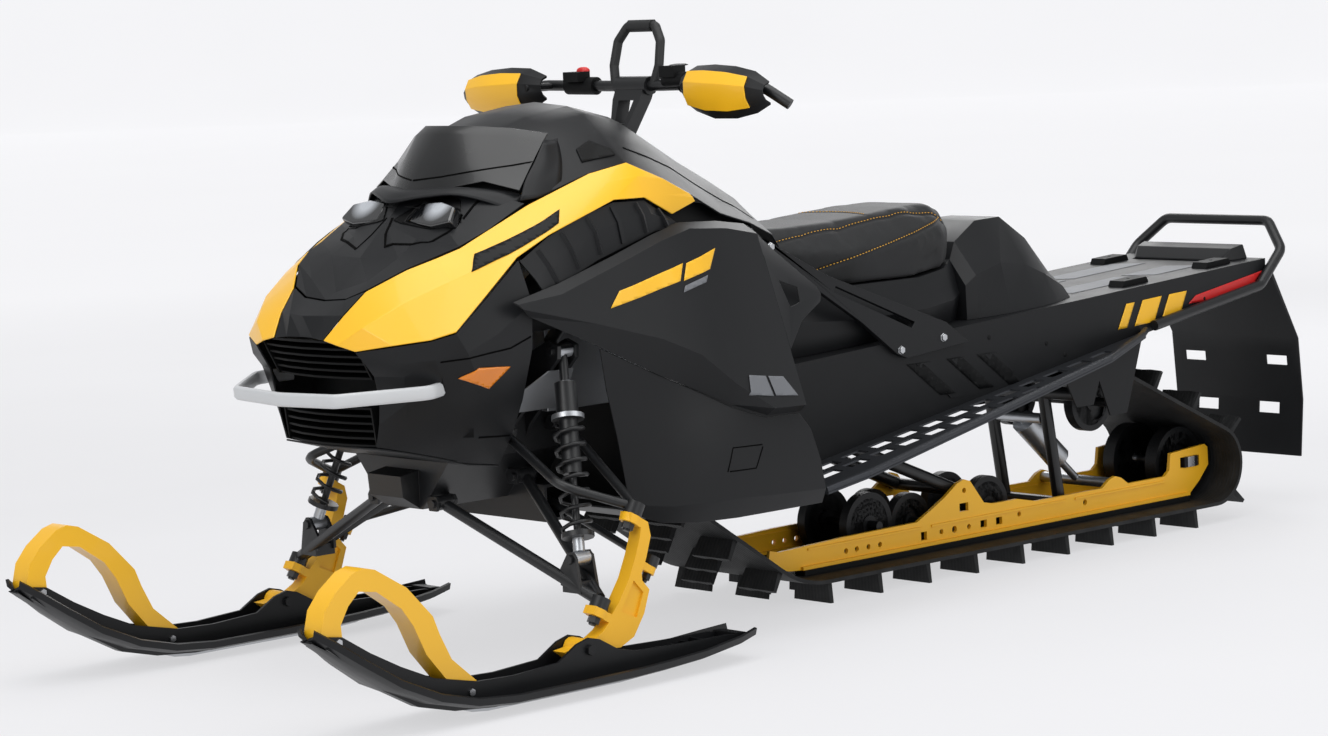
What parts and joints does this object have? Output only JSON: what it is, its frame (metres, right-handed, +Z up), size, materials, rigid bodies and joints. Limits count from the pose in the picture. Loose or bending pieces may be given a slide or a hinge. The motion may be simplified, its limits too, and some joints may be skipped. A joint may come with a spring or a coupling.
{
  "type": "snowmobile",
  "caption": "Mountain snowmobile with a long lugged track under a tapering tunnel, two steerable skis on double wishbones, a louvred body, a narrow seat and a handlebar with a grab strap.",
  "frame": {"origin": "on the ground, on the centre plane, midway along the overall length", "axes": "+X forward, +Y to the rider's left, +Z up"},
  "size_m": [3.1268, 1.072, 1.2021],
  "materials": {
    "bare_aluminium": "satin",
    "black_paint": "satin",
    "black_plastic": "satin",
    "lens": "clear",
    "seat_cover": "matt",
    "shield": "gloss",
    "silver_plastic": "satin",
    "slider": "matt",
    "steel": "brushed",
    "track_rubber": "matt",
    "yellow_paint": "satin",
    "yellow_plastic": "satin"
  },
  "bodies": {
    "frame": {"track": "track_rubber", "slide_rails": "yellow_paint", "slide_shoes": "slider", "idler_wheels": "black_plastic", "drive_axle": "black_paint", "front_arm": "black_paint", "rear_arm": "black_paint", "tunnel": "black_paint", "running_boards": "black_paint", "front_frame": "black_paint", "upper_frame": "black_paint", "engine_block": "bare_aluminium", "hood": "black_plastic", "hood_panel_left": "yellow_plastic", "hood_panel_right": "yellow_plastic", "nose_cap": "black_plastic", "nose_sides": "black_plastic", "belly_pan": "black_plastic", "grilles": "black_plastic", "front_bumper": "silver_plastic", "headlights": "lens", "windshield": "shield", "console": "black_plastic", "side_panel_left": "black_plastic", "side_panel_right": "black_plastic", "lower_sides": "black_plastic", "vent_panels": "black_plastic", "lower_arms": "black_paint", "upper_arms": "black_paint", "front_shocks": "bare_aluminium", "seat_cushion": "seat_cover", "seat_base": "black_plastic", "side_struts": "black_paint", "rear_bumper": "black_paint", "snow_flap": "black_plastic", "anchor_bases": "black_plastic", "belly_floor": "black_plastic", "rear_shock": "bare_aluminium", "side_trims": "black_plastic", "tail_cap": "black_plastic", "tower_plates": "bare_aluminium"},
    "steering": {"steering_post": "black_paint", "handlebar": "black_paint", "grab_strap": "black_plastic", "handguards": "black_plastic", "guard_inserts": "yellow_plastic", "brake_control": "black_plastic", "throttle_control": "black_plastic"},
    "spindle_left": {"spindle_left": "yellow_paint"},
    "spindle_right": {"spindle_right": "yellow_paint"},
    "tie_rod_left": {"tie_rod_left": "bare_aluminium"},
    "tie_rod_right": {"tie_rod_right": "bare_aluminium"},
    "ski_left": {"ski_left": "black_plastic", "ski_loop_left": "yellow_plastic", "ski_runner_left": "steel"},
    "ski_right": {"ski_right": "black_plastic", "ski_loop_right": "yellow_plastic", "ski_runner_right": "steel"}
  },
  "joints": [
    {"name": "steering_turn", "type": "hinge", "parent": "frame", "child": "steering", "pos_m": [0.391, 0, 0.977], "axis": [-0.4226, 0, 0.9063], "range_deg": [-34, 34]},
    {"name": "spindle_left_turn", "type": "hinge", "parent": "frame", "child": "spindle_left", "pos_m": [0.909, 0.452, 0.136], "axis": [-0.5, 0, 0.866], "range_deg": [-31, 31]},
    {"name": "tie_rod_left_swing", "type": "hinge", "parent": "spindle_left", "child": "tie_rod_left", "pos_m": [0.76825, 0.452, 0.21178], "axis": [-0.5, 0, 0.866], "range_deg": [-31, 31]},
    {"name": "ski_left_pitch", "type": "hinge", "parent": "spindle_left", "child": "ski_left", "pos_m": [0.955, 0.452, 0.078], "axis": [0, 1, 0], "range_deg": [-20, 15]},
    {"name": "spindle_right_turn", "type": "hinge", "parent": "frame", "child": "spindle_right", "pos_m": [0.909, -0.452, 0.136], "axis": [-0.5, 0, 0.866], "range_deg": [-31, 31]},
    {"name": "tie_rod_right_swing", "type": "hinge", "parent": "spindle_right", "child": "tie_rod_right", "pos_m": [0.76825, -0.452, 0.21178], "axis": [-0.5, 0, 0.866], "range_deg": [-31, 31]},
    {"name": "ski_right_pitch", "type": "hinge", "parent": "spindle_right", "child": "ski_right", "pos_m": [0.955, -0.452, 0.078], "axis": [0, 1, 0], "range_deg": [-20, 15]}
  ],
  "couplings": [
    {"joint": "spindle_left_turn", "follows": "steering_turn", "ratio": 0.8824},
    {"joint": "tie_rod_left_swing", "follows": "steering_turn", "ratio": -0.8824},
    {"joint": "spindle_right_turn", "follows": "steering_turn", "ratio": 0.8824},
    {"joint": "tie_rod_right_swing", "follows": "steering_turn", "ratio": -0.8824}
  ]
}
